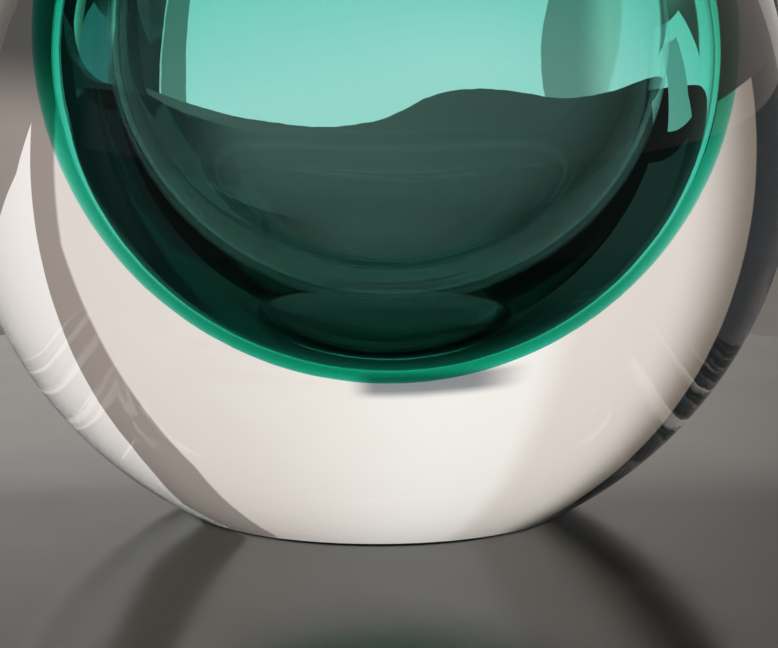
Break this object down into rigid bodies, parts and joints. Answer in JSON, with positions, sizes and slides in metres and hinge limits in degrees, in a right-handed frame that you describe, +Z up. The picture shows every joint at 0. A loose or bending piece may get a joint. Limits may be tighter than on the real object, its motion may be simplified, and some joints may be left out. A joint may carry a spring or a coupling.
{
  "type": "glass bowl",
  "caption": "Heavy cased glass bowl: an oval green hollow inside a thick clear ball, ground flat at the foot and cut flat at the rim.",
  "frame": {"origin": "centre of the ground flat foot, at the lowest face", "axes": "+Z up along the ball's axis, out of the mouth; -Y is the front; the oval hollow is widest along X"},
  "size_m": [0.15, 0.15, 0.105],
  "materials": {
    "clear_crystal": "fire-polished ball, polished rim and foot",
    "emerald_glass": "fire-polished inside the hollow, polished at the rim"
  },
  "bodies": {
    "root": {"crystal_casing": "clear_crystal", "emerald_layer": "emerald_glass"}
  },
  "joints": []
}
